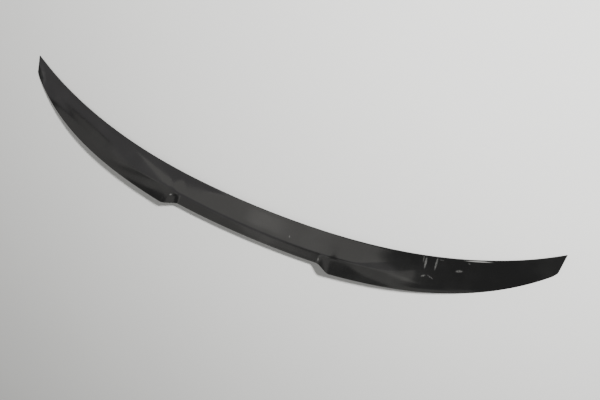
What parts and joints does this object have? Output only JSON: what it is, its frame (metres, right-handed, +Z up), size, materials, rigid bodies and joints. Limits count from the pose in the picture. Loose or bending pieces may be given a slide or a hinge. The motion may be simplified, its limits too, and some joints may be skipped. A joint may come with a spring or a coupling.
{
  "type": "boot-lid lip spoiler",
  "caption": "Slim crescent lip spoiler for a car's boot lid, with a lowered middle between two raised horns and a hollow taped and bolted base.",
  "frame": {"origin": "on the centre line, half way between the tips and the rearmost edge, in the plane the foam tape and the mounting feet rest on", "axes": "+X across the car from the left tip to the right tip, +Y towards the front of the car, where the thin leading edge is, +Z up, the side of the gloss skin"},
  "size_m": [1.1976, 0.214, 0.0592],
  "materials": {
    "gloss_black": "gloss black paint, fine scratches",
    "matte_black": "moulded, lightly grained",
    "zinc_steel": "zinc plated",
    "adhesive": "smooth polyurethane bead",
    "seal_rubber": "satin rubber",
    "brass": "turned and knurled",
    "foam": "closed-cell foam",
    "foam_tape": "acrylic foam tape"
  },
  "bodies": {
    "root": {"outer_skin": "gloss_black", "base_panel": "matte_black", "panel_screws": "zinc_steel", "front_bond_bead": "adhesive", "rear_bond_bead": "adhesive", "lip_seal": "seal_rubber", "threaded_insert_left_outer": "brass", "threaded_insert_left_inner": "brass", "threaded_insert_right_inner": "brass", "threaded_insert_right_outer": "brass", "foot_seal_left_outer": "foam", "foot_seal_left_inner": "foam", "foot_seal_right_inner": "foam", "foot_seal_right_outer": "foam", "front_tape_left": "foam_tape", "front_tape_centre": "foam_tape", "front_tape_right": "foam_tape", "rear_tape_left": "foam_tape", "rear_tape_centre": "foam_tape", "rear_tape_right": "foam_tape", "tip_tape_left": "foam_tape", "tip_tape_right": "foam_tape", "foam_block_left": "foam", "foam_block_centre": "foam", "foam_block_right": "foam"}
  },
  "joints": []
}
